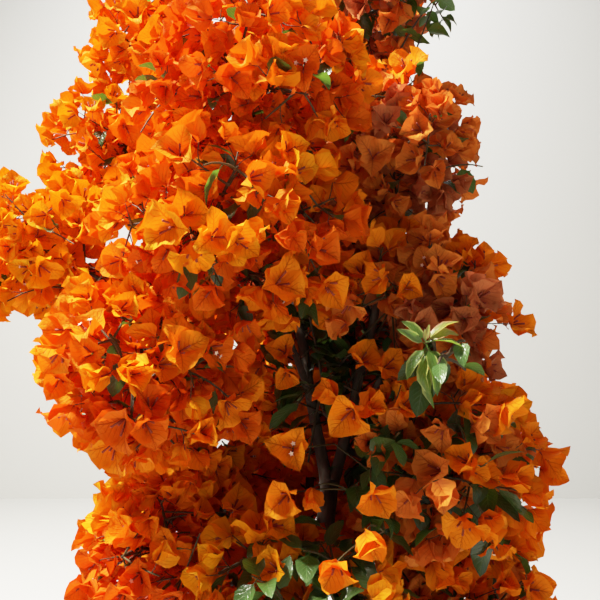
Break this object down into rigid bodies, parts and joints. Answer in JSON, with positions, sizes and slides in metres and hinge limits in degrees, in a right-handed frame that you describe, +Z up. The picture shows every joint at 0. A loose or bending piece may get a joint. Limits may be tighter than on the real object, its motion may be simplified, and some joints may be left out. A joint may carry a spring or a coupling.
{
  "type": "bougainvillea bush",
  "caption": "Tall flowering garden shrub: a forked trunk, arching boughs and dense sprays of orange papery bracts and dark leaves round an open, leafy heart",
  "frame": {"origin": "centre of the flat cut under the trunk, at ground level", "axes": "+Z up along the plant's height, -Y towards the viewer, +X to the viewer's right"},
  "size_m": [1.012, 0.8722, 2.0017],
  "materials": {
    "bark": "grey-brown furrowed bark on trunk, stems and boughs",
    "bracts": "thin papery bracts in golden to rust orange, matt with a soft translucent glow",
    "leaves": "dark green leaves, softly glossy"
  },
  "bodies": {
    "root": {"trunk": "bark", "leader_left": "bark", "leader_right": "bark", "stem_left": "bark", "stem_right": "bark", "stem_back": "bark", "bough_skirt_1": "bark", "bough_skirt_2": "bark", "bough_skirt_3": "bark", "bough_low_1": "bark", "bough_low_2": "bark", "bough_low_3": "bark", "bough_low_4": "bark", "bough_low_5": "bark", "bough_waist_1": "bark", "bough_waist_2": "bark", "bough_waist_3": "bark", "bough_waist_4": "bark", "bough_waist_5": "bark", "bough_middle_1": "bark", "bough_middle_3": "bark", "bough_middle_4": "bark", "bough_middle_5": "bark", "bough_shoulder_1": "bark", "bough_upper_1": "bark", "bough_upper_2": "bark", "bough_upper_3": "bark", "bough_heart": "bark", "bough_shoot": "bark", "spray_skirt_1": "bracts", "spray_skirt_2": "bracts", "spray_skirt_3": "bracts", "spray_low_1": "bracts", "spray_low_2": "bracts", "spray_low_3": "bracts", "spray_low_4": "bracts", "spray_low_5": "bracts", "spray_waist_1": "bracts", "spray_waist_2": "bracts", "spray_waist_3": "bracts", "spray_waist_4": "bracts", "spray_waist_5": "bracts", "spray_middle_1": "bracts", "spray_middle_2": "bracts", "spray_middle_3": "bracts", "spray_middle_4": "bracts", "spray_middle_5": "bracts", "spray_shoulder_1": "bracts", "spray_shoulder_2": "bracts", "spray_shoulder_3": "bracts", "spray_shoulder_4": "bracts", "spray_upper_1": "bracts", "spray_upper_2": "bracts", "spray_upper_3": "bracts", "spray_top_1": "bracts", "spray_heart": "leaves", "spray_shoot": "leaves"}
  },
  "joints": []
}
